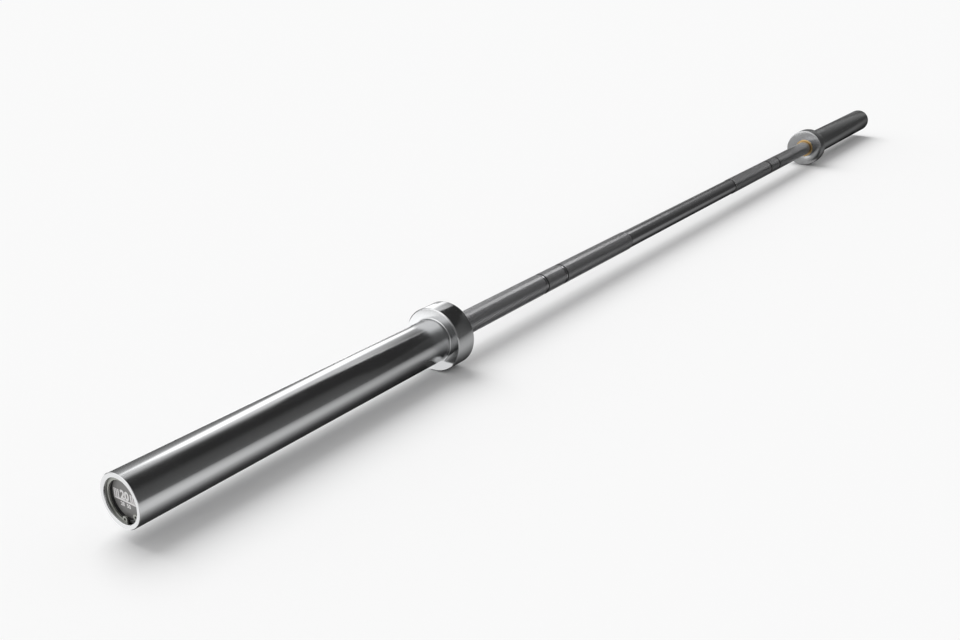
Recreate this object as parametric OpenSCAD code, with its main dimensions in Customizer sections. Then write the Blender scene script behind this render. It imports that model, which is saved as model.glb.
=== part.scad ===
// Weightlifting bar: a turned steel shaft with a freely spinning sleeve on each end.
// Frame: origin at the bar's middle on its axis, +X along the bar to its right end, +Z up.
// Each sleeve is drawn on the right end and mirrored for the left one.

/* [Overall] */
// Distance between the inner faces of the two collars
grip_span = 1310; // [1000:5:1320]
// Length of sleeve that takes plates, from the collar to the sleeve's end
load_len = 409; // [300:0.5:430]

/* [Shaft] */
// Diameter over the knurled grips
grip_d = 28; // [27.6:0.1:29]
// Diameter of the smooth centre and of the bearing journals
shaft_d = 26.8; // [26:0.1:27.4]
// Diameter of the thinner shaft ends inside the sleeves
shaft_end_d = 24; // [22:0.1:25]
// Length of the smooth centre between the two grips
centre_len = 420; // [200:1:500]
// Distance between the two outer ring marks
outer_mark_span = 910; // [880:1:940]
// Distance between the two ring marks of one grip
mark_step = 50; // [40:1:60]
// Width of a ring mark at its floor
mark_w = 3.4; // [2:0.1:6]
// Depth of a ring mark below the grips
mark_depth = 0.8; // [0.4:0.1:1.5]
// Plain strip of shaft between the grip and the collar
plain_strip = 3; // [1:0.5:10]
// Run of the slope at each end of a grip and at each ring mark
grip_slope = 0.8; // [0.3:0.1:2]
// Chamfer on the shaft's shoulders and on its two ends
shaft_chamfer = 0.6; // [0.3:0.1:1]

/* [Sleeve] */
// Outer diameter that plates slide on
sleeve_d = 50; // [49:0.1:50.4]
// Radial room between the thin shaft end and the sleeve's long bore
bore_room = 1.1; // [0.5:0.1:2]
// Diameter of the two bushing seats
seat_d = 36; // [34:0.1:38]
// Diameter of the sleeve's spigot, which is pressed into the collar
spigot_d = 44; // [42:0.1:47]
// Diameter of the sleeve's open mouth
mouth_d = 41; // [40:0.1:44]
// Chamfer round the sleeve's outer end
sleeve_chamfer = 0.5; // [0.3:0.1:2]
// Chamfer round the edge of the mouth
mouth_chamfer = 0.5; // [0.2:0.1:0.8]

/* [Collar] */
// Diameter of the collar
collar_d = 74; // [70:0.5:90]
// Width of the collar along the bar
collar_w = 29; // [24:0.5:35]
// Thickness of the collar's inner web, which the sleeve's spigot butts against
collar_web = 6; // [4:0.5:10]
// Chamfer on the collar's two rims
collar_chamfer = 1.2; // [0.5:0.1:3]
// Radius of the weld fillet between the collar and the sleeve
root_fillet = 1.4; // [0.6:0.1:3]
// Depth of the relief turned in the sleeve's root, which the weld fills
weld_relief = 0.5; // [0.4:0.1:1]

/* [Bushings and washers] */
// Length of the bronze bushing inside the collar
inner_bushing_len = 40; // [30:1:60]
// Length of the bronze bushing near the end cap
outer_bushing_len = 30; // [20:1:50]
// Depth of the inner bushing's face below the collar's inner face
bushing_recess = 0.4; // [0.2:0.1:2]
// Chamfer at the mouth of a bushing's bore
bushing_chamfer = 1.3; // [0.5:0.1:1.8]
// Chamfer round the outside of a bushing
bushing_edge = 0.4; // [0.2:0.1:0.8]
// Thickness of a thrust washer
washer_t = 3; // [1.5:0.1:5]
// Chamfer round a thrust washer
washer_edge = 0.3; // [0.1:0.1:0.6]

/* [Shaft snap ring] */
// Thickness of the ring
snap_t = 1.2; // [1:0.05:1.5]
// Depth of its groove in the shaft
snap_groove_depth = 0.55; // [0.4:0.05:0.8]
// Radial width of the ring opposite its gap
snap_w_max = 3; // [2.4:0.1:3.4]
// Radial width of the ring beside its lugs
snap_w_min = 1.7; // [1.3:0.1:2.2]
// Height of a lug from the ring's inner edge
snap_lug_h = 4.4; // [4:0.1:5]
// Radius of a lug's round end
snap_lug_r = 2.1; // [1.8:0.1:2.3]
// Diameter of the plier hole in a lug
snap_hole_d = 2; // [1.5:0.1:2.4]
// Angle from the middle of the gap to each lug
snap_lug_turn = 17; // [12:1:30]
// Length of shaft between the groove and the shaft's end
snap_land = 4; // [3:0.1:8]

/* [Sleeve circlip] */
// Thickness of the circlip
circlip_t = 1.75; // [1.5:0.05:2]
// Depth of its groove in the sleeve
circlip_groove_depth = 1.25; // [0.8:0.05:1.5]
// Distance from the sleeve's end to the groove
circlip_inset = 2.4; // [2:0.1:8]
// Radial width of the circlip opposite its gap
circlip_w_max = 4.2; // [3.5:0.1:4.8]
// Radial width of the circlip beside its lugs
circlip_w_min = 3; // [2:0.1:3.4]
// Height of a lug from the circlip's outer edge
circlip_lug_h = 6.7; // [5:0.1:7.5]
// Radius of a lug's round end
circlip_lug_r = 3; // [2.6:0.1:3.4]
// Diameter of the plier hole in a lug
circlip_hole_d = 2.5; // [2:0.1:3]
// Angle from the middle of the gap to each lug
circlip_lug_turn = 27; // [12:1:40]
// Turn of the gap from the bottom of the mouth towards the bar's front
circlip_turn = 25; // [-180:1:180]

/* [End cap] */
// Height of the cap along the bar
cap_h = 6; // [4:0.1:9]
// Radial width of the cap's raised rim
cap_rim_w = 2.2; // [1.5:0.1:3.5]
// Depth of the dish inside the rim
cap_dish = 2.7; // [1.2:0.1:3.2]
// Chamfer on the cap's edges
cap_edge = 0.4; // [0.2:0.1:0.8]
// Thickness of the printed disc in the dish
disc_t = 0.6; // [0.3:0.1:1]

/* [Clearances] */
// Radial running clearance of a journal in its bushing
running_fit = 0.08; // [0.02:0.01:0.1]
// Radial clearance of a washer, cap or disc in its seat
slip_fit = 0.2; // [0.1:0.05:0.5]
// Free end play of the sleeve against each thrust washer
end_play = 0.3; // [0.1:0.1:0.6]
// Play of a retaining ring in its groove
ring_play = 0.05; // [0.02:0.01:0.1]
// Room between the shaft's end and the end cap
cap_room = 3; // [1:0.5:10]

/* [Hidden] */
$fn = 96;

// Segments in the fillet's profile
fillet_steps = 6;
// How far the gap's sides trim the round ends of a retaining ring's lugs
lug_trim = 0.1;

// Radii
grip_r = grip_d / 2;
shaft_r = shaft_d / 2;
shaft_end_r = shaft_end_d / 2;
mark_r = grip_r - mark_depth;
snap_floor_r = shaft_end_r - snap_groove_depth;
sleeve_r = sleeve_d / 2;
spigot_r = spigot_d / 2;
root_r = sleeve_r - weld_relief;
bore_r = shaft_end_r + bore_room;
seat_r = seat_d / 2;
mouth_r = mouth_d / 2;
circlip_floor_r = mouth_r + circlip_groove_depth;
collar_r = collar_d / 2;
snap_groove_w = snap_t + 2 * ring_play;
circlip_groove_w = circlip_t + 2 * ring_play;

// Places along the bar, from its middle out to the right end
collar_face = grip_span / 2;
collar_back = collar_face + collar_w;
spigot_start = collar_face + collar_web;
wall_start = collar_back + root_fillet;
sleeve_end = collar_back + load_len;

// Inner thrust stop: bushing, shaft shoulder, washer, step in the sleeve
inner_bushing_start = collar_face + bushing_recess;
inner_bushing_end = inner_bushing_start + inner_bushing_len;
shoulder = inner_bushing_end + end_play;
inner_washer_end = shoulder + washer_t;
inner_step = inner_washer_end + end_play;

// Outer end, from the mouth inwards: circlip, cap, shaft end, snap ring, washer, bushing
circlip_groove_end = sleeve_end - circlip_inset;
cap_front = circlip_groove_end - circlip_groove_w;
cap_back = cap_front - cap_h;
cap_floor = cap_front - cap_dish;
shaft_end = cap_back - cap_room;
snap_groove_end = shaft_end - snap_land;
snap_groove_start = snap_groove_end - snap_groove_w;
outer_washer_start = snap_groove_start - washer_t;
outer_bushing_end = outer_washer_start - end_play;
outer_bushing_start = outer_bushing_end - outer_bushing_len;

// Turns a profile of [radius, place along the bar] points about the bar's axis
module turned(profile) {
    rotate([0, 90, 0]) rotate_extrude() polygon(profile);
}

// Plain ring between two places along the bar, with its edges chamfered
module turned_ring(inner_r, outer_r, start, end, edge) {
    turned([
        [inner_r, start], [outer_r - edge, start], [outer_r, start + edge],
        [outer_r, end - edge], [outer_r - edge, end], [inner_r, end]
    ]);
}

// Stands a flat outline on the bar's axis, with the outline's +X side at the bottom
module stamped(start, thickness) {
    translate([start, 0, 0]) rotate([0, 90, 0]) linear_extrude(thickness) children();
}

module place(side) {
    if (side == "left") mirror([1, 0, 0]) children();
    else children();
}

// The shaft's outline, from its middle to its right end: the grip with its ring marks,
// then the bearing journals
function ring_mark(middle) = [
    [grip_r, middle - mark_w / 2 - grip_slope], [mark_r, middle - mark_w / 2],
    [mark_r, middle + mark_w / 2], [grip_r, middle + mark_w / 2 + grip_slope]
];

function grip_profile() = concat(
    [[shaft_r, centre_len / 2], [grip_r, centre_len / 2 + grip_slope]],
    ring_mark(outer_mark_span / 2 - mark_step),
    ring_mark(outer_mark_span / 2),
    [[grip_r, collar_face - plain_strip - grip_slope], [shaft_r, collar_face - plain_strip]]
);

function journal_profile() = [
    [shaft_r, shoulder - shaft_chamfer], [shaft_r - shaft_chamfer, shoulder],
    [shaft_end_r, shoulder],
    [shaft_end_r, snap_groove_start], [snap_floor_r, snap_groove_start],
    [snap_floor_r, snap_groove_end], [shaft_end_r, snap_groove_end],
    [shaft_end_r, shaft_end - shaft_chamfer], [shaft_end_r - shaft_chamfer, shaft_end]
];

function right_half() = concat(grip_profile(), journal_profile(), [[0, shaft_end]]);

function mirrored(points) = [for (i = [len(points) - 1 : -1 : 0]) [points[i][0], -points[i][1]]];

module shaft() {
    color("#55565a") turned(concat(mirrored(right_half()), right_half()));
}

// Tube with a spigot for the collar, a relief for the weld, two bushing seats,
// a step for the inner washer and a mouth with the circlip's groove
module sleeve() {
    color("#c9cacc") turned([
        [seat_r, spigot_start], [spigot_r, spigot_start],
        [spigot_r, collar_back], [root_r, collar_back],
        [root_r, wall_start], [sleeve_r, wall_start],
        [sleeve_r, sleeve_end - sleeve_chamfer], [sleeve_r - sleeve_chamfer, sleeve_end],
        [mouth_r + mouth_chamfer, sleeve_end], [mouth_r, sleeve_end - mouth_chamfer],
        [mouth_r, circlip_groove_end], [circlip_floor_r, circlip_groove_end],
        [circlip_floor_r, cap_front], [mouth_r, cap_front],
        [mouth_r, cap_back], [seat_r, cap_back],
        [seat_r, outer_bushing_start], [bore_r, outer_bushing_start],
        [bore_r, inner_step], [seat_r, inner_step]
    ]);
}

// The weld fillet's outline, from the sleeve's wall round to the collar
function root_arc() = [
    for (i = [0 : fillet_steps])
        let (turn = 90 * i / fillet_steps)
        [sleeve_r + root_fillet * (1 - cos(turn)), wall_start - root_fillet * sin(turn)]
];

// Flange bored for the bushing at its web and for the spigot behind it, welded at the back
module collar() {
    color("#bdbec0") turned(concat(
        [
            [seat_r, collar_face], [collar_r - collar_chamfer, collar_face],
            [collar_r, collar_face + collar_chamfer], [collar_r, collar_back - collar_chamfer],
            [collar_r - collar_chamfer, collar_back]
        ],
        [for (i = [fillet_steps : -1 : 0]) root_arc()[i]],
        [
            [root_r, wall_start], [root_r, collar_back], [spigot_r, collar_back],
            [spigot_r, spigot_start], [seat_r, spigot_start]
        ]
    ));
}

// Bronze bushing with a running bore that opens out at both mouths
module bushing(journal_r, start, end) {
    running_r = journal_r + running_fit;
    color("#a8814a") turned([
        [running_r + bushing_chamfer, start], [seat_r - bushing_edge, start],
        [seat_r, start + bushing_edge], [seat_r, end - bushing_edge],
        [seat_r - bushing_edge, end], [running_r + bushing_chamfer, end],
        [running_r, end - bushing_chamfer], [running_r, start + bushing_chamfer]
    ]);
}

module thrust_washer(start) {
    color("#8f9194")
        turned_ring(shaft_end_r + slip_fit, seat_r - slip_fit, start, start + washer_t, washer_edge);
}

// The two lugs of a retaining ring: bars with round ends, one on each side of the gap
module lugs(root_place, lug_place, lug_r, lug_turn) {
    for (side = [-1, 1]) rotate(side * lug_turn) {
        translate([lug_place, 0]) circle(r = lug_r);
        translate([min(root_place, lug_place), -lug_r])
            square([abs(root_place - lug_place), 2 * lug_r]);
    }
}

// The gap, whose two sides trim the lugs, and the plier holes in the lugs
module gap_and_holes(lug_place, lug_r, lug_turn, hole_d, reach) {
    tip = (lug_r - lug_trim) / sin(lug_turn);
    side_end = [tip + reach * cos(lug_turn), reach * sin(lug_turn)];
    polygon([[tip, 0], side_end, [side_end[0], -side_end[1]]]);
    for (side = [-1, 1]) rotate(side * lug_turn) translate([lug_place, 0]) circle(d = hole_d);
}

// External ring: its outer edge is off centre, widest opposite the gap
module snap_ring_outline() {
    inner_r = snap_floor_r + ring_play;
    outer_r = inner_r + (snap_w_max + snap_w_min) / 2;
    off_centre = (snap_w_max - snap_w_min) / 2;
    lug_place = inner_r + snap_lug_h - snap_lug_r;
    difference() {
        union() {
            translate([-off_centre, 0]) circle(r = outer_r);
            lugs(0, lug_place, snap_lug_r, snap_lug_turn);
        }
        circle(r = inner_r);
        gap_and_holes(lug_place, snap_lug_r, snap_lug_turn, snap_hole_d, 2 * outer_r);
    }
}

// Internal ring: its inner edge is off centre, widest opposite the gap
module circlip_outline() {
    outer_r = circlip_floor_r - ring_play;
    inner_r = outer_r - (circlip_w_max + circlip_w_min) / 2;
    off_centre = (circlip_w_max - circlip_w_min) / 2;
    lug_place = outer_r - circlip_lug_h + circlip_lug_r;
    difference() {
        circle(r = outer_r);
        difference() {
            translate([off_centre, 0]) circle(r = inner_r);
            lugs(outer_r, lug_place, circlip_lug_r, circlip_lug_turn);
        }
        gap_and_holes(lug_place, circlip_lug_r, circlip_lug_turn, circlip_hole_d, 2 * outer_r);
    }
}

module shaft_snap_ring() {
    color("#6d6f72") stamped(snap_groove_start + ring_play, snap_t) snap_ring_outline();
}

module sleeve_circlip() {
    color("#9b9b96")
        stamped(cap_front + ring_play, circlip_t) rotate(-circlip_turn) circlip_outline();
}

// Dished cap that rests on the step behind the mouth
module end_cap() {
    cap_r = mouth_r - slip_fit;
    dish_r = cap_r - cap_rim_w;
    color("#2b2b2b") turned([
        [0, cap_back], [cap_r - cap_edge, cap_back], [cap_r, cap_back + cap_edge],
        [cap_r, cap_front - cap_edge], [cap_r - cap_edge, cap_front],
        [dish_r, cap_front], [dish_r, cap_floor], [0, cap_floor]
    ]);
}

module cap_disc() {
    disc_r = mouth_r - slip_fit - cap_rim_w - slip_fit;
    color("#777572") stamped(cap_floor, disc_t) circle(r = disc_r);
}

shaft();
place("left") sleeve();  // left_sleeve
place("right") sleeve();  // right_sleeve
place("left") collar();  // left_collar
place("right") collar();  // right_collar
place("left") bushing(shaft_r, inner_bushing_start, inner_bushing_end);  // left_inner_bushing
place("right") bushing(shaft_r, inner_bushing_start, inner_bushing_end);  // right_inner_bushing
place("left") bushing(shaft_end_r, outer_bushing_start, outer_bushing_end);  // left_outer_bushing
place("right") bushing(shaft_end_r, outer_bushing_start, outer_bushing_end);  // right_outer_bushing
place("left") thrust_washer(shoulder);  // left_inner_thrust_washer
place("right") thrust_washer(shoulder);  // right_inner_thrust_washer
place("left") thrust_washer(outer_washer_start);  // left_outer_thrust_washer
place("right") thrust_washer(outer_washer_start);  // right_outer_thrust_washer
place("left") shaft_snap_ring();  // left_shaft_snap_ring
place("right") shaft_snap_ring();  // right_shaft_snap_ring
place("left") end_cap();  // left_end_cap
place("right") end_cap();  // right_end_cap
place("left") cap_disc();  // left_cap_disc
place("right") cap_disc();  // right_cap_disc
place("left") sleeve_circlip();  // left_sleeve_circlip
place("right") sleeve_circlip();  // right_sleeve_circlip
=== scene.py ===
import math

import bpy
from mathutils import Matrix, Vector


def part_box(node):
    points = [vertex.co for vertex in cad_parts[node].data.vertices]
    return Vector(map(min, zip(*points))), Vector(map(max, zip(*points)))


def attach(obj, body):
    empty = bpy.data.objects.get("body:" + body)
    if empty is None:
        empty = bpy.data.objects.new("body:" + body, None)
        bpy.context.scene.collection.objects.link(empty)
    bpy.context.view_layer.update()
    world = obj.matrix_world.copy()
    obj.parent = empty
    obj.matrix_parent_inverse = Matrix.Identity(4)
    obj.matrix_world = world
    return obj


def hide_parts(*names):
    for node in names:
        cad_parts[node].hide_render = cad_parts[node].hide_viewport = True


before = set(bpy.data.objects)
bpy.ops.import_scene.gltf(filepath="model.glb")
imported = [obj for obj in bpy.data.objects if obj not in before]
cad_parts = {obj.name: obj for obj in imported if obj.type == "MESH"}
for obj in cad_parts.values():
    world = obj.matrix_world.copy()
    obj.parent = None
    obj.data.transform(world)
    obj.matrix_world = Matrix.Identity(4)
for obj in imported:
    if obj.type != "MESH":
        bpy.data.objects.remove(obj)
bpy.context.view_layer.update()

# Camera: it stands beside the near end of the bar, a little above it, and looks along
# the bar towards its far end.
camera_place = (-1.47705, -0.60999, 0.40933)
camera_heading = 34.532
camera_dip = 21.091
camera_lens = 36.293
camera_film = 36
camera_sees_from, camera_sees_to = 0.01, 200

bpy.ops.object.camera_add(
    location=camera_place,
    rotation=(math.radians(90 - camera_dip), 0, math.radians(camera_heading - 90)),
)
camera = bpy.context.object
camera.data.sensor_width = camera_film
camera.data.lens = camera_lens
camera.data.clip_start = camera_sees_from
camera.data.clip_end = camera_sees_to
bpy.context.scene.camera = camera
bpy.context.scene.view_settings.view_transform = "Standard"


# Floor and daylight: a matt, pale studio floor that the bar lies on with its two collars,
# under an even white light from all round and a broad one from above, behind the bar.
floor_size = 120
floor_colour = (0.94, 0.94, 0.94, 1)
floor_roughness = 1
floor_gloss = 0
daylight = 0.55
overhead_strength = 1.75
overhead_spread = 50
overhead_lean = (-32, 12)
collar_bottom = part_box("left_collar")[0].z


def new_material(name):
    """A new material with its shader, its nodes and its links."""
    material = bpy.data.materials.new(name)
    material.use_nodes = True
    tree = material.node_tree
    return material, tree.nodes["Principled BSDF"], tree.nodes, tree.links


def math_node(nodes, links, operation, *values):
    """A Math node; each value is a number or a socket."""
    node = nodes.new("ShaderNodeMath")
    node.operation = operation
    for socket, value in zip(node.inputs, values):
        if isinstance(value, (int, float)):
            socket.default_value = value
        else:
            links.new(value, socket)
    return node.outputs[0]


def rescaled(nodes, links, value, before=(0, 1), after=(0, 1)):
    """A number brought from one range to another, and kept within that."""
    node = nodes.new("ShaderNodeMapRange")
    node.inputs["From Min"].default_value, node.inputs["From Max"].default_value = before
    node.inputs["To Min"].default_value, node.inputs["To Max"].default_value = after
    links.new(value, node.inputs["Value"])
    return node.outputs["Result"]


bpy.ops.mesh.primitive_plane_add(size=floor_size, location=(0, 0, collar_bottom))
floor = bpy.context.object
floor.name = "floor"
material, shader, nodes, links = new_material("pale_floor")
shader.inputs["Base Color"].default_value = floor_colour
shader.inputs["Roughness"].default_value = floor_roughness
shader.inputs["Specular IOR Level"].default_value = floor_gloss
floor.data.materials.append(material)

world = bpy.data.worlds.new("daylight")
world.use_nodes = True
world.cycles.sampling_method = "NONE"
nodes, links = world.node_tree.nodes, world.node_tree.links
ray = nodes.new("ShaderNodeLightPath")
seen = ray.outputs["Is Camera Ray"]
seen = math_node(nodes, links, "MAXIMUM", seen, ray.outputs["Is Glossy Ray"])
seen = math_node(nodes, links, "MAXIMUM", seen, ray.outputs["Is Transmission Ray"])
strength = rescaled(nodes, links, seen, after=(daylight, 1))
nodes["Background"].inputs["Color"].default_value = (1, 1, 1, 1)
links.new(strength, nodes["Background"].inputs["Strength"])
bpy.context.scene.world = world

lean_x, lean_y = (math.radians(lean) for lean in overhead_lean)
bpy.ops.object.light_add(type="SUN", rotation=(lean_x, lean_y, 0))
overhead = bpy.context.object
overhead.name = "overhead"
overhead.data.energy = overhead_strength
overhead.data.angle = math.radians(overhead_spread)
overhead.visible_glossy = False


# Tent, scrim, cards, flags and soft lights: dark cloth hung round the set, a gauze laid on its
# floor whose grey is painted shade, with the bar's painted shadow, pale cards laid on the floor,
# dark flags, a softbox and a strip light, as are used to draw the form of polished steel.
# Only the steel sees them. Steps are (angle or place, brightness).
tent_radius = 8
tent_segments, tent_rings = 48, 24
tent_near = [
    (0, 0.18),
    (20, 0.24),
    (45, 0.45),
    (57, 0.72),
    (67, 0.80),
    (75, 0.65),
    (82, 0.25),
    (90, 0.07),
    (105, 0.04),
    (125, 0.04),
    (146, 0.10),
    (170, 0.13),
    (190, 0.18),
    (270, 0.18),
    (360, 0.18),
]
tent_far = [
    (0, 0.28),
    (22, 0.13),
    (36, 0.09),
    (49, 0.13),
    (60, 0.20),
    (72, 0.25),
    (86, 0.22),
    (111, 0.15),
    (134, 0.09),
    (150, 0.06),
    (175, 0.06),
    (190, 0.10),
    (270, 0.10),
    (360, 0.28),
]
tent_behind = [
    (0, 1.50),
    (30, 1.70),
    (84, 1.70),
    (104, 0.75),
    (122, 0.30),
    (146, 0.20),
    (180, 0.16),
    (270, 0.16),
    (330, 0.90),
    (360, 1.50),
]
tent_far_from, tent_far_to = 0.74, 0.84
tent_behind_from, tent_behind_to = -0.10, -0.40
scrim_size = 20
scrim_over_floor = 0.0003
# Painted shade on the floor as the steel sees it: the gauze darkens it towards the far end.
scrim_painted_shade_along_the_bar = [
    (-1.30, 1.00),
    (-1.00, 1.00),
    (-0.90, 0.86),
    (-0.65, 0.64),
    (0.00, 0.34),
    (0.60, 0.24),
    (1.20, 0.16),
    (3.00, 0.10),
]
# Painted shadow of the bar on the floor, seen in the steel: a dark strip just under the bar, and darker
# far out on its near side.
scrim_painted_shade_across_the_bar = [
    (-3.000, 0.35),
    (-0.500, 0.60),
    (-0.200, 0.80),
    (-0.104, 1.00),
    (-0.070, 1.00),
    (-0.050, 0.75),
    (-0.030, 0.28),
    (-0.018, 0.08),
    (0.000, 0.08),
    (0.020, 1.00),
    (3.000, 1.00),
]
card_from, card_to = Vector((-1.40, 0.003)), Vector((0.80, 0.26))
card_over_floor = 0.0006
card_along_the_bar = [
    (-1.40, 1.30),
    (-1.00, 1.40),
    (-0.83, 1.80),
    (-0.65, 1.60),
    (0.20, 0.50),
    (0.80, 0.40),
]
collar_flag_lean = -18
softbox_middle = Vector((0.352, 1.252, 0.895))
softbox_long, softbox_wide = 2.40, 2.00
softbox_runs = Vector((0.520, 0.121, -0.846))
softbox_target = Vector((-0.75, 0, 0))
softbox_across = [
    (-0.50, 0.00),
    (-0.24, 0.25),
    (-0.10, 1.60),
    (0.06, 1.60),
    (0.18, 0.10),
    (0.50, 0.00),
]
softbox_along = [(-0.5, 0.0), (-0.43, 1.0), (0.43, 1.0), (0.5, 0.0)]
strip_middle = Vector((1.80, 0.18, 1.60))
strip_long, strip_wide = 1.70, 1.10
strip_runs = Vector((1, 0, 0))
strip_target = strip_middle - Vector((0, 0, 1))
strip_across = [(-0.5, 0.0), (-0.2, 1.6), (0.2, 1.6), (0.5, 0.0)]
strip_along = [(-0.5, 0.0), (-0.3, 1.0), (0.3, 1.0), (0.5, 0.0)]


def ramp(nodes, links, source, steps, smooth=False):
    """Greys that change with a number: the steps are (number, grey)."""
    first, last = steps[0][0], steps[-1][0]
    greys = nodes.new("ShaderNodeValToRGB")
    greys.color_ramp.interpolation = "EASE" if smooth else "LINEAR"
    elements = greys.color_ramp.elements
    for value, grey in steps[1:-1]:
        elements.new((value - first) / (last - first)).color = (grey, grey, grey, 1)
    elements[0].color = (steps[0][1],) * 3 + (1,)
    elements[-1].color = (steps[-1][1],) * 3 + (1,)
    links.new(rescaled(nodes, links, source, before=(first, last)), greys.inputs["Fac"])
    return greys.outputs["Color"]


def mixed(nodes, links, share, first, second):
    """A colour between two, by a share; each of the two is a colour or a socket."""
    mix = nodes.new("ShaderNodeMix")
    mix.data_type = "RGBA"
    links.new(share, mix.inputs["Factor"])
    for socket, colour in zip(mix.inputs[6:8], (first, second)):
        if isinstance(colour, tuple):
            socket.default_value = colour
        else:
            links.new(colour, socket)
    return mix.outputs[2]


def object_place(nodes, links):
    """The X, Y and Z sockets of a point's place on its piece."""
    place = nodes.new("ShaderNodeTexCoord")
    split = nodes.new("ShaderNodeSeparateXYZ")
    links.new(place.outputs["Object"], split.inputs[0])
    return split.outputs


def only_steel_sees(cloth, light):
    """Gives a cloth its light, and hides it from all but reflections."""
    cloth.data.materials.append(light)
    cloth.visible_camera = False
    cloth.visible_diffuse = False
    cloth.visible_transmission = False
    cloth.visible_volume_scatter = False
    cloth.visible_shadow = False


def glowing(name):
    """A material that only glows, and its colour's socket."""
    material, shader, nodes, links = new_material(name)
    material.cycles.emission_sampling = "NONE"
    nodes.remove(shader)
    glow = nodes.new("ShaderNodeEmission")
    links.new(glow.outputs[0], nodes["Material Output"].inputs["Surface"])
    return material, glow.inputs["Color"], nodes, links


bpy.ops.mesh.primitive_uv_sphere_add(segments=tent_segments, ring_count=tent_rings, radius=tent_radius)
tent = bpy.context.object
tent.name = "tent"
material, colour, nodes, links = glowing("tent_cloth")
x, y, z = object_place(nodes, links)
angle = math_node(nodes, links, "DEGREES", math_node(nodes, links, "ARCTAN2", z, y))
angle = math_node(nodes, links, "FLOORED_MODULO", angle, 360)
cloth = ramp(nodes, links, angle, tent_near)
for other, begins, ends in (
    (tent_far, tent_far_from, tent_far_to),
    (tent_behind, tent_behind_from, tent_behind_to),
):
    share = rescaled(nodes, links, x, before=(begins * tent_radius, ends * tent_radius))
    cloth = mixed(nodes, links, share, cloth, ramp(nodes, links, angle, other))
links.new(cloth, colour)
only_steel_sees(tent, material)

bpy.ops.mesh.primitive_plane_add(size=scrim_size, location=(0, 0, collar_bottom + scrim_over_floor))
scrim = bpy.context.object
scrim.name = "scrim"
material, shader, nodes, links = new_material("scrim_painted_shade")
nodes.remove(shader)
gauze = nodes.new("ShaderNodeBsdfTransparent")
x, y, _ = object_place(nodes, links)
# Painted shade for the steel: the floor's falloff along the bar times the bar's painted shadow across
# it.
along = ramp(nodes, links, x, scrim_painted_shade_along_the_bar)
across = ramp(nodes, links, y, scrim_painted_shade_across_the_bar)
links.new(math_node(nodes, links, "MULTIPLY", along, across), gauze.inputs["Color"])
links.new(gauze.outputs[0], nodes["Material Output"].inputs["Surface"])
only_steel_sees(scrim, material)

on_the_floor = collar_bottom + card_over_floor
middle = (card_from + card_to) / 2
bpy.ops.mesh.primitive_plane_add(size=1, location=(middle.x, middle.y, on_the_floor))
card = bpy.context.object
card.name = "card"
card.scale = (card_to.x - card_from.x, card_to.y - card_from.y, 1)
bpy.ops.object.transform_apply()
material, colour, nodes, links = glowing("bright_card")
links.new(ramp(nodes, links, object_place(nodes, links)[0], card_along_the_bar), colour)
only_steel_sees(card, material)


def flag(name, grey, middle, size, facing):
    """A plain cloth or card of one grey, turned from the floor's plane."""
    bpy.ops.mesh.primitive_plane_add(size=1)
    cloth = bpy.context.object
    cloth.name = name
    cloth.matrix_world = Matrix.Translation(middle) @ facing @ Matrix.Diagonal((*size, 1, 1))
    material, colour, nodes, links = glowing(f"{name}_cloth")
    colour.default_value = (grey, grey, grey, 1)
    only_steel_sees(cloth, material)


across_the_bar = Matrix.Rotation(math.radians(90), 4, "Y")
along_the_bar = Matrix.Rotation(math.radians(90), 4, "X")
leaning = Matrix.Rotation(math.radians(collar_flag_lean), 4, "X") @ across_the_bar
flat = Matrix()
flag(
    "collar_flag",
    grey=0.04, middle=(-0.640, -0.018, 0.210), size=(0.33, 0.13), facing=leaning,
)
flag(
    "floor_flag",
    grey=0.07, middle=(-0.880, 1.640, on_the_floor), size=(1.44, 2.72), facing=flat,
)
flag(
    "grip_flag",
    grey=0.34, middle=(-0.105, 0.100, 0.007), size=(0.91, 0.086), facing=along_the_bar,
)
flag(
    "foot_card",
    grey=1.15, middle=(-0.6898, -0.009, -0.0312), size=(0.0112, 0.038), facing=across_the_bar,
)
flag(
    "foot_card_back",
    grey=0.06, middle=(-0.6900, -0.009, -0.0312), size=(0.0112, 0.038), facing=across_the_bar,
)
flag(
    "far_foot_strip",
    grey=0.42, middle=(0.632, -0.020, on_the_floor), size=(0.044, 0.045), facing=flat,
)
flag(
    "foot_strip",
    grey=1.15, middle=(-0.6872, -0.009, on_the_floor), size=(0.0050, 0.038), facing=flat,
)


def soft_light(name, middle, runs, target, long, wide, across, along):
    """A long soft light that faces a point and fades to nothing at its edges."""
    bpy.ops.mesh.primitive_plane_add(size=1)
    light = bpy.context.object
    light.name = name
    back = (middle - target).normalized()
    runs = (runs - back * runs.dot(back)).normalized()
    facing = Matrix((runs, back.cross(runs), back)).transposed().to_4x4()
    light.matrix_world = Matrix.Translation(middle) @ facing @ Matrix.Diagonal((long, wide, 1, 1))
    material, colour, nodes, links = glowing(f"{name}_light")
    x, y, _ = object_place(nodes, links)
    fades_across = ramp(nodes, links, y, across, smooth=True)
    fades_along = ramp(nodes, links, x, along, smooth=True)
    links.new(math_node(nodes, links, "MULTIPLY", fades_across, fades_along), colour)
    through = nodes.new("ShaderNodeBsdfTransparent")
    both = nodes.new("ShaderNodeAddShader")
    links.new(through.outputs[0], both.inputs[0])
    links.new(nodes["Emission"].outputs[0], both.inputs[1])
    links.new(both.outputs[0], nodes["Material Output"].inputs["Surface"])
    only_steel_sees(light, material)


soft_light(
    "softbox", softbox_middle, softbox_runs, softbox_target,
    softbox_long, softbox_wide, softbox_across, softbox_along,
)
soft_light(
    "strip", strip_middle, strip_runs, strip_target,
    strip_long, strip_wide, strip_across, strip_along,
)


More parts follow.
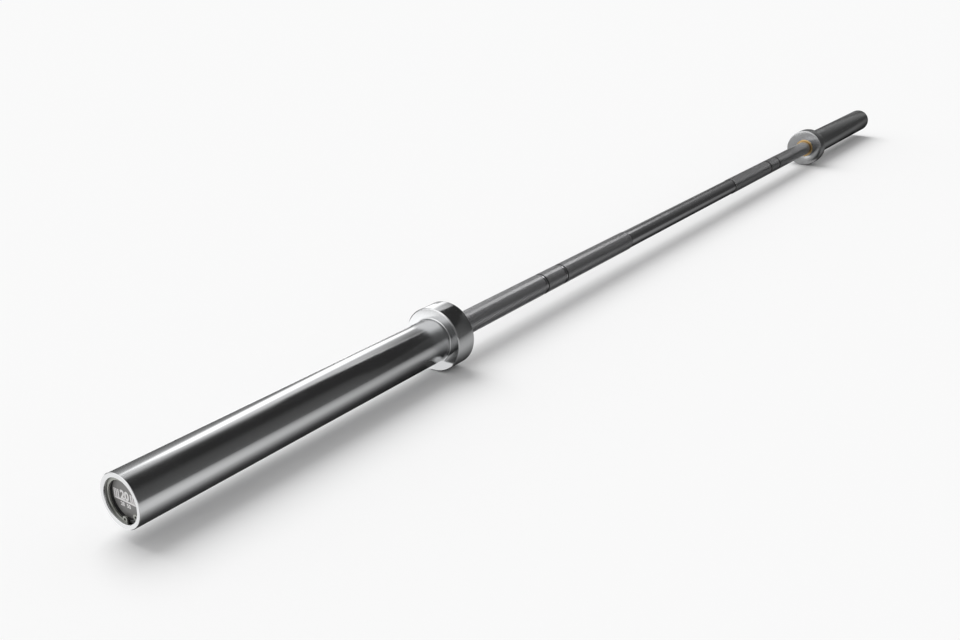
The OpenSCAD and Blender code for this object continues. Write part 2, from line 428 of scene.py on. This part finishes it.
# Shaft: one long bar of hard steel. It is turned down at its ends for the bushings, left
# smooth in its middle, and has two ring marks turned into each of its grips.
shaft_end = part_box("shaft")[1].x
grip_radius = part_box("shaft")[1].z
collar_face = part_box("right_collar")[0].x
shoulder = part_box("right_inner_thrust_washer")[0].x
snap_ring_play = 0.00005
snap_groove = (
    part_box("right_shaft_snap_ring")[0].x - snap_ring_play,
    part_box("right_shaft_snap_ring")[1].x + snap_ring_play,
)
smooth_radius = 0.0134
journal_radius = 0.0120
mark_radius = 0.0132
snap_floor_radius = 0.01145
shaft_chamfer = 0.0006
centre_half = 0.210
marks = (0.405, 0.455)
mark_half = 0.0017
mark_slope = 0.0002
shaft_steps = 160
seed_size = 0.001
same_place = 1e-6
smooth_below = 30
steel_grey = (0.50, 0.50, 0.51, 1)
quarter_turn = 0.25
line_wander = 20
line_detail = 3
smudge_scale = 35
smudge_detail = 5
noise_low, noise_high = 0.3, 0.7
cleanest, dullest = 0.85, 1.2


def turn(name, outline, steps, closed=False):
    """Turns an outline of (place along the bar, radius) points about the bar's axis."""
    bpy.ops.object.select_all(action="DESELECT")
    start = outline[0]
    bpy.ops.mesh.primitive_plane_add(size=seed_size, location=(start[0], 0, start[1]))
    piece = bpy.context.object
    piece.name = piece.data.name = name
    bpy.ops.object.transform_apply()
    bpy.ops.object.mode_set(mode="EDIT")
    bpy.ops.mesh.select_mode(type="VERT")
    bpy.ops.mesh.select_all(action="SELECT")
    bpy.ops.mesh.merge(type="CENTER")
    points = outline + [start] if closed else outline
    for here, there in zip(points, points[1:]):
        step = (there[0] - here[0], 0, there[1] - here[1])
        bpy.ops.mesh.extrude_region_move(TRANSFORM_OT_translate={"value": step})
    bpy.ops.mesh.select_all(action="SELECT")
    bpy.ops.mesh.spin(steps=steps, angle=2 * math.pi, center=(0, 0, 0), axis=(1, 0, 0))
    bpy.ops.mesh.select_all(action="SELECT")
    bpy.ops.mesh.remove_doubles(threshold=same_place)
    bpy.ops.mesh.normals_make_consistent(inside=False)
    bpy.ops.object.mode_set(mode="OBJECT")
    return piece


def soften(piece, width, sharper_than=25, rounds=2):
    """Breaks the sharp edges of a piece and shades the rest of it smooth."""
    bevel = piece.modifiers.new("broken_edges", "BEVEL")
    bevel.limit_method = "ANGLE"
    bevel.angle_limit = math.radians(sharper_than)
    bevel.width = width
    bevel.segments = rounds
    bpy.ops.object.modifier_apply(modifier=bevel.name)
    bpy.ops.object.shade_smooth_by_angle(angle=math.radians(smooth_below))


def mirrored(outline):
    """An outline for the other end of the bar, in the order that continues to this one."""
    return [(-place, radius) for place, radius in reversed(outline)]


half_shaft = []
for middle in marks:
    half_shaft += [
        (middle - mark_half - mark_slope, smooth_radius),
        (middle - mark_half, mark_radius),
        (middle + mark_half, mark_radius),
        (middle + mark_half + mark_slope, smooth_radius),
    ]
half_shaft += [
    (shoulder - shaft_chamfer, smooth_radius),
    (shoulder, smooth_radius - shaft_chamfer),
    (shoulder, journal_radius),
    (snap_groove[0], journal_radius),
    (snap_groove[0], snap_floor_radius),
    (snap_groove[1], snap_floor_radius),
    (snap_groove[1], journal_radius),
    (shaft_end - shaft_chamfer, journal_radius),
    (shaft_end, journal_radius - shaft_chamfer),
    (shaft_end, 0),
]
shaft = turn("shaft_bar", mirrored(half_shaft) + half_shaft, shaft_steps)
bpy.ops.object.shade_smooth_by_angle(angle=math.radians(smooth_below))


def noise(nodes, links, place, scale, detail):
    """Cloudy noise between 0 and 1."""
    clouds = nodes.new("ShaderNodeTexNoise")
    clouds.inputs["Scale"].default_value = scale
    clouds.inputs["Detail"].default_value = detail
    links.new(place, clouds.inputs["Vector"])
    return clouds.outputs["Fac"]


def roughen(nodes, links, shader, height, depth):
    """Gives a finish its fine relief: a height between 0 and 1, and how deep that goes."""
    bump = nodes.new("ShaderNodeBump")
    bump.inputs["Distance"].default_value = depth
    bump.inputs["Strength"].default_value = 1
    links.new(height, bump.inputs["Height"])
    links.new(bump.outputs[0], shader.inputs["Normal"])


def turned_metal(name, colour, roughness, stretch, line_pitch, line_depth):
    """Metal with a lathe's fine rings, which stretch its gloss, and with faint smudges."""
    material, shader, nodes, links = new_material(name)
    shader.inputs["Metallic"].default_value = 1
    shader.inputs["Base Color"].default_value = colour
    shader.inputs["Anisotropic"].default_value = stretch
    shader.inputs["Anisotropic Rotation"].default_value = quarter_turn
    grain = nodes.new("ShaderNodeTangent")
    grain.direction_type = "RADIAL"
    grain.axis = "X"
    links.new(grain.outputs[0], shader.inputs["Tangent"])

    place = nodes.new("ShaderNodeTexCoord").outputs["Object"]
    lines_place = nodes.new("ShaderNodeVectorMath")
    lines_place.operation = "MULTIPLY"
    lines_place.inputs[1].default_value = (1 / line_pitch, line_wander, line_wander)
    links.new(place, lines_place.inputs[0])
    lines = noise(nodes, links, lines_place.outputs[0], 1, line_detail)
    roughen(nodes, links, shader, lines, line_depth)

    smudges = noise(nodes, links, place, smudge_scale, smudge_detail)
    dull = rescaled(
        nodes, links, smudges,
        before=(noise_low, noise_high), after=(roughness * cleanest, roughness * dullest),
    )
    links.new(dull, shader.inputs["Roughness"])
    return material


smooth_steel = turned_metal(
    "smooth_shaft_steel", steel_grey,
    roughness=0.18, stretch=0.4, line_pitch=0.0006, line_depth=0.000002,
)
shaft.data.materials.append(smooth_steel)
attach(shaft, "bar")
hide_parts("shaft")


# Knurled grips: small diamonds that a pair of hard rolls presses into the shaft, between
# its smooth centre, its ring marks and its collars. Hands have worn their tops bright; the
# grooves between them are coloured darker, as painted shade.
plain_strip = 0.003
grip_slope = 0.0008
diamonds_round = 44
diamond_length = 0.0036
diamond_border = 0.00028
diamond_height = 0.00025
grip_lip_radius = 0.01346
# The grooves' near-black grey is painted shade in the knurl's recesses; the tops' lighter grey is wear
# from hands.
groove_painted_shade_grey = (0.07, 0.07, 0.072, 1)
worn_grey = (0.62, 0.62, 0.63, 1)
groove_roughness, worn_roughness = 0.50, 0.27
groove_below, worn_above = 0.9, 0.15
grip_bands = [
    (centre_half, marks[0] - mark_half),
    (marks[0] + mark_half, marks[1] - mark_half),
    (marks[1] + mark_half, collar_face - plain_strip),
]


def select_edges(piece, wanted):
    """Selects the edges of a piece for which wanted(edge) is true, and nothing else."""
    bpy.ops.object.mode_set(mode="EDIT")
    bpy.ops.mesh.select_mode(type="EDGE")
    bpy.ops.mesh.select_all(action="DESELECT")
    bpy.ops.object.mode_set(mode="OBJECT")
    for edge in piece.data.edges:
        edge.select = wanted(edge)
    bpy.ops.object.mode_set(mode="EDIT")


def places_of(piece, edge):
    """The places along the bar of an edge's two points."""
    return [piece.data.vertices[number].co.x for number in edge.vertices]


def knurl(name, start, end):
    """A tube of raised diamonds from one place along the bar to another."""
    root = grip_radius - diamond_height
    length = end - start - 2 * grip_slope
    rows = round(length / diamond_length)
    bpy.ops.object.select_all(action="DESELECT")
    bpy.ops.mesh.primitive_cylinder_add(
        vertices=diamonds_round,
        radius=root,
        depth=length,
        end_fill_type="NOTHING",
        location=((start + end) / 2, 0, 0),
        rotation=(0, math.radians(90), 0),
    )
    band = bpy.context.object
    band.name = band.data.name = name
    bpy.ops.object.transform_apply()

    def lengthwise(edge):
        places = places_of(band, edge)
        return max(places) - min(places) > length / 2

    select_edges(band, lengthwise)
    bpy.ops.mesh.subdivide(number_cuts=rows - 1)
    bpy.ops.mesh.select_all(action="SELECT")
    bpy.ops.object.mode_set(mode="OBJECT")
    grid_points = len(band.data.vertices)
    bpy.ops.object.mode_set(mode="EDIT")
    bpy.ops.mesh.poke(offset=root * (1 - math.cos(math.pi / diamonds_round)))
    bpy.ops.object.mode_set(mode="OBJECT")
    low, high = (start + grip_slope, end - grip_slope)

    def inside_the_grid(edge):
        places = places_of(band, edge)
        at_an_end = max(places) < low + same_place or min(places) > high - same_place
        return max(edge.vertices) < grid_points and not at_an_end

    select_edges(band, inside_the_grid)
    bpy.ops.mesh.dissolve_edges(use_verts=False)
    bpy.ops.mesh.select_mode(type="FACE")
    bpy.ops.mesh.select_face_by_sides(number=4, type="EQUAL", extend=False)
    bpy.ops.mesh.inset(thickness=diamond_border, depth=diamond_height, use_individual=True)

    def on_rim(edge, *rims):
        return all(min(abs(place - rim) for rim in rims) < same_place for place in places_of(band, edge))

    for side, limit in ((-1, low), (1, high)):
        select_edges(band, lambda edge: on_rim(edge, limit))
        bpy.ops.mesh.extrude_edges_move(TRANSFORM_OT_translate={"value": (side * grip_slope, 0, 0)})
        shrink = grip_lip_radius / root
        bpy.ops.transform.resize(
            value=(1, shrink, shrink), center_override=(limit + side * grip_slope, 0, 0)
        )
        bpy.ops.object.mode_set(mode="OBJECT")
    select_edges(band, lambda edge: on_rim(edge, start, end))
    bpy.ops.mesh.bridge_edge_loops()
    bpy.ops.mesh.select_all(action="SELECT")
    bpy.ops.mesh.normals_make_consistent(inside=False)
    bpy.ops.object.mode_set(mode="OBJECT")
    return band


def knurled_steel():
    """Steel whose raised tops are worn brighter and smoother, and whose grooves are darker as painted
    shade.
    """
    material, shader, nodes, links = new_material("knurled_shaft_steel")
    shader.inputs["Metallic"].default_value = 1
    _, y, z = object_place(nodes, links)
    squares = math_node(
        nodes, links, "ADD",
        math_node(nodes, links, "MULTIPLY", y, y), math_node(nodes, links, "MULTIPLY", z, z),
    )
    radius = math_node(nodes, links, "SQRT", squares)
    # Darker with depth below the tops: painted shade down the flanks and in the grooves.
    groove_up_to = grip_radius - groove_below * diamond_height
    worn_from = grip_radius - worn_above * diamond_height
    top = rescaled(nodes, links, radius, before=(groove_up_to, worn_from))
    links.new(mixed(nodes, links, top, groove_painted_shade_grey, worn_grey), shader.inputs["Base Color"])
    dull = rescaled(nodes, links, top, after=(groove_roughness, worn_roughness))
    links.new(dull, shader.inputs["Roughness"])
    return material


grip_steel = knurled_steel()
for side, sign in (("left", -1), ("right", 1)):
    for number, band_ends in enumerate(grip_bands, start=1):
        start, end = sorted(sign * place for place in band_ends)
        band = knurl(f"{side}_grip_{number}", start, end)
        band.data.materials.append(grip_steel)
        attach(band, "bar")


# Thrust washers and snap rings: ground steel washers and spring steel rings on the shaft's
# thin ends, which hold each sleeve along the bar. They lie out of sight in the sleeves.
washer_grey = (0.52, 0.53, 0.54, 1)
spring_grey = (0.22, 0.22, 0.23, 1)


def refinish(node, material):
    """Gives a piece of the frame its real finish."""
    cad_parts[node].material_slots[0].material = material


washer_steel = turned_metal(
    "ground_steel", washer_grey,
    roughness=0.3, stretch=0.3, line_pitch=0.0004, line_depth=0.000001,
)
spring_steel = turned_metal(
    "phosphated_steel", spring_grey,
    roughness=0.5, stretch=0, line_pitch=0.0004, line_depth=0.000001,
)
for side in ("left", "right"):
    refinish(f"{side}_inner_thrust_washer", washer_steel)
    refinish(f"{side}_outer_thrust_washer", washer_steel)
    refinish(f"{side}_shaft_snap_ring", spring_steel)


# Bushings: oiled bronze, pressed into the two ends of each sleeve. The inner one shows as
# a golden ring round the shaft in the collar's face.
bronze_colour = (0.92, 0.64, 0.30, 1)
bronze = turned_metal(
    "oiled_bronze", bronze_colour,
    roughness=0.28, stretch=0.4, line_pitch=0.0005, line_depth=0.000003,
)
for side in ("left", "right"):
    refinish(f"{side}_inner_bushing", bronze)
    refinish(f"{side}_outer_bushing", bronze)


# Sleeves: steel tubes turned to the bore of the plates and chromed. Each has a spigot for
# its collar at the inner end, and a mouth with a groove for its circlip at the outer end.
sleeve_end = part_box("right_sleeve")[1].x
sleeve_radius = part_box("right_sleeve")[1].z
spigot_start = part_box("right_sleeve")[0].x
wall_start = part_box("right_collar")[1].x
seat_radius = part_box("right_inner_bushing")[1].z
end_play = 0.0003
inner_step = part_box("right_inner_thrust_washer")[1].x + end_play
outer_seat_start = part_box("right_outer_bushing")[0].x
cap_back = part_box("right_end_cap")[0].x
cap_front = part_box("right_end_cap")[1].x
root_fillet = 0.0014
collar_back = wall_start - root_fillet
spigot_radius = 0.0220
root_radius = 0.0245
bore_radius = 0.0131
mouth_radius = 0.0205
circlip_floor_radius = 0.02175
circlip_groove_width = 0.00185
circlip_groove_end = cap_front + circlip_groove_width
sleeve_chamfer = 0.0005
mouth_chamfer = 0.0005
broken_edge = 0.00015
chrome_colour = (0.55, 0.555, 0.56, 1)
sleeve_steps = 192

sleeve_outline = [
    (spigot_start, seat_radius),
    (spigot_start, spigot_radius),
    (collar_back, spigot_radius),
    (collar_back, root_radius),
    (wall_start, root_radius),
    (wall_start, sleeve_radius),
    (sleeve_end - sleeve_chamfer, sleeve_radius),
    (sleeve_end, sleeve_radius - sleeve_chamfer),
    (sleeve_end, mouth_radius + mouth_chamfer),
    (sleeve_end - mouth_chamfer, mouth_radius),
    (circlip_groove_end, mouth_radius),
    (circlip_groove_end, circlip_floor_radius),
    (cap_front, circlip_floor_radius),
    (cap_front, mouth_radius),
    (cap_back, mouth_radius),
    (cap_back, seat_radius),
    (outer_seat_start, seat_radius),
    (outer_seat_start, bore_radius),
    (inner_step, bore_radius),
    (inner_step, seat_radius),
]
sleeve_chrome = turned_metal(
    "turned_sleeve_chrome", chrome_colour,
    roughness=0.17, stretch=0.5, line_pitch=0.0008, line_depth=0.000003,
)
for side in ("left", "right"):
    outline = mirrored(sleeve_outline) if side == "left" else sleeve_outline
    sleeve = turn(f"{side}_turned_sleeve", outline, sleeve_steps, closed=True)
    soften(sleeve, broken_edge)
    sleeve.data.materials.append(sleeve_chrome)
    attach(sleeve, f"{side}_end")
    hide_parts(f"{side}_sleeve")


# Collars: heavy steel rings, turned and chromed, that stop the plates. Each is pressed on
# its sleeve's spigot and welded round the back, where the weld is turned to a fillet.
collar_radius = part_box("right_collar")[1].z
collar_chamfer = 0.0012
fillet_steps = 10

fillet = []
for number in range(fillet_steps + 1):
    turned = math.radians(90) * number / fillet_steps
    fillet.append(
        (
            wall_start - root_fillet * math.cos(turned),
            sleeve_radius + root_fillet * (1 - math.sin(turned)),
        )
    )
collar_outline = [
    (spigot_start, seat_radius),
    (collar_face, seat_radius),
    (collar_face, collar_radius - collar_chamfer),
    (collar_face + collar_chamfer, collar_radius),
    (collar_back - collar_chamfer, collar_radius),
    (collar_back, collar_radius - collar_chamfer),
    *fillet,
    (wall_start, root_radius),
    (collar_back, root_radius),
    (collar_back, spigot_radius),
    (spigot_start, spigot_radius),
]
collar_chrome = turned_metal(
    "turned_collar_chrome", chrome_colour,
    roughness=0.19, stretch=0.6, line_pitch=0.0007, line_depth=0.000003,
)
for side in ("left", "right"):
    outline = mirrored(collar_outline) if side == "left" else collar_outline
    collar = turn(f"{side}_turned_collar", outline, sleeve_steps, closed=True)
    soften(collar, broken_edge)
    collar.data.materials.append(collar_chrome)
    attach(collar, f"{side}_end")
    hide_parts(f"{side}_collar")


# End caps: dished steel caps, painted black. Each closes the outer end of its sleeve, where
# it sits against a step in the mouth and its circlip keeps it.
cap_black = (0.012, 0.012, 0.012, 1)
cap_worn_black = (0.030, 0.030, 0.030, 1)
coat_detail = 4
glossiest, dullest_coat = 0.85, 1.15


def coated(name, dark, light, roughness, grain, depth):
    """A coat that is a little uneven in colour, gloss and thickness."""
    material, shader, nodes, links = new_material(name)
    place = nodes.new("ShaderNodeTexCoord").outputs["Object"]
    grains = noise(nodes, links, place, 1 / grain, coat_detail)
    share = rescaled(nodes, links, grains, before=(noise_low, noise_high))
    links.new(mixed(nodes, links, share, dark, light), shader.inputs["Base Color"])
    dull = rescaled(nodes, links, share, after=(roughness * glossiest, roughness * dullest_coat))
    links.new(dull, shader.inputs["Roughness"])
    roughen(nodes, links, shader, grains, depth)
    return material, shader


black_paint, _ = coated(
    "black_paint", cap_black, cap_worn_black, roughness=0.42, grain=0.0012, depth=0.00003,
)
for side in ("left", "right"):
    refinish(f"{side}_end_cap", black_paint)


# Discs: thin metal film discs glued in the caps. Each is printed in white with a plain
# number between two bars, a line and a row of small numbers, upright as the bar lies here.
disc_grey = (0.20, 0.197, 0.193, 1)
disc_pale_grey = (0.235, 0.23, 0.225, 1)
print_white = (0.84, 0.82, 0.82, 1)
print_bright_white = (0.90, 0.88, 0.88, 1)
print_depth = 0.00004
print_bold = 0.062
print_curve_steps = 6
font_height = 0.69
row_height = 0.0074
row_across = -0.0024
row_up = 0.0012
stripe_width = 0.0016
stripes_out = (0.0079, 0.0103, 0.0127)
line_size = (0.0270, 0.0017)
line_up = -0.0035
marks_height = 0.0034
marks_up = -0.0074

grey_film, _ = coated(
    "grey_film", disc_grey, disc_pale_grey, roughness=0.5, grain=0.002, depth=0.000004,
)
white_print, _ = coated(
    "white_print", print_white, print_bright_white, roughness=0.55, grain=0.0008, depth=0.000004,
)


def printed_text(body, height, across, up):
    """Raised figures in the XY plane, made into a mesh."""
    bpy.ops.object.text_add(location=(across, up, 0))
    figures = bpy.context.object
    figures.data.body = body
    figures.data.align_x = "CENTER"
    figures.data.align_y = "CENTER"
    figures.data.size = height / font_height
    figures.data.offset = print_bold * height
    figures.data.extrude = print_depth
    figures.data.resolution_u = print_curve_steps
    bpy.ops.object.convert(target="MESH")
    return bpy.context.object


def printed_bar(size, across, up):
    """A raised bar in the XY plane."""
    bpy.ops.mesh.primitive_cube_add(
        size=1, location=(across, up, 0), scale=(size[0], size[1], 2 * print_depth)
    )
    return bpy.context.object


for side, sign in (("left", -1), ("right", 1)):
    refinish(f"{side}_cap_disc", grey_film)
    parts = [
        printed_text("20", row_height, row_across, row_up),
        printed_bar(line_size, row_across, line_up),
        printed_text("28  50", marks_height, row_across, marks_up),
    ]
    for out in stripes_out:
        parts.append(printed_bar((stripe_width, row_height), row_across - out, row_up))
        parts.append(printed_bar((stripe_width, row_height), row_across + out, row_up))
    bpy.ops.object.select_all(action="DESELECT")
    for part in parts:
        part.select_set(True)
    bpy.context.view_layer.objects.active = parts[0]
    bpy.ops.object.transform_apply()
    bpy.ops.object.join()
    figures = bpy.context.object
    figures.name = figures.data.name = f"{side}_disc_print"
    figures.location = (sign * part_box("right_cap_disc")[1].x, 0, 0)
    figures.rotation_euler = (math.radians(90), 0, sign * math.radians(90))
    bpy.ops.object.transform_apply()
    bpy.ops.object.mode_set(mode="EDIT")
    bpy.ops.mesh.select_all(action="SELECT")
    bpy.ops.mesh.remove_doubles(threshold=same_place)
    bpy.ops.mesh.normals_make_consistent(inside=False)
    bpy.ops.object.mode_set(mode="OBJECT")
    figures.data.materials.clear()
    figures.data.materials.append(white_print)
    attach(figures, f"{side}_end")


# Circlips: spring steel rings, stamped and zinc plated, that are sprung into the grooves
# of the mouths and hold the caps. The lugs beside each gap stand low, with plier holes.
zinc_grey = (0.27, 0.275, 0.255, 1)
zinc_pale_grey = (0.33, 0.335, 0.31, 1)
stamped_edge = 0.00015
stamped_sharper_than = 40
flat_within = 1

dull_zinc, shader = coated(
    "dull_zinc_plated_steel", zinc_grey, zinc_pale_grey, roughness=0.48, grain=0.003, depth=0.000004,
)
shader.inputs["Metallic"].default_value = 1
for side in ("left", "right"):
    rough_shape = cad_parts[f"{side}_sleeve_circlip"]
    bpy.ops.object.select_all(action="DESELECT")
    circlip = rough_shape.copy()
    circlip.data = rough_shape.data.copy()
    circlip.name = circlip.data.name = f"{side}_stamped_circlip"
    bpy.context.collection.objects.link(circlip)
    circlip.select_set(True)
    bpy.context.view_layer.objects.active = circlip
    bpy.ops.object.mode_set(mode="EDIT")
    bpy.ops.mesh.select_all(action="SELECT")
    bpy.ops.mesh.remove_doubles(threshold=same_place)
    bpy.ops.mesh.normals_make_consistent(inside=False)
    bpy.ops.mesh.dissolve_limited(angle_limit=math.radians(flat_within))
    bpy.ops.object.mode_set(mode="OBJECT")
    soften(circlip, stamped_edge, sharper_than=stamped_sharper_than)
    circlip.data.materials.clear()
    circlip.data.materials.append(dull_zinc)
    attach(circlip, f"{side}_end")
    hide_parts(f"{side}_sleeve_circlip")
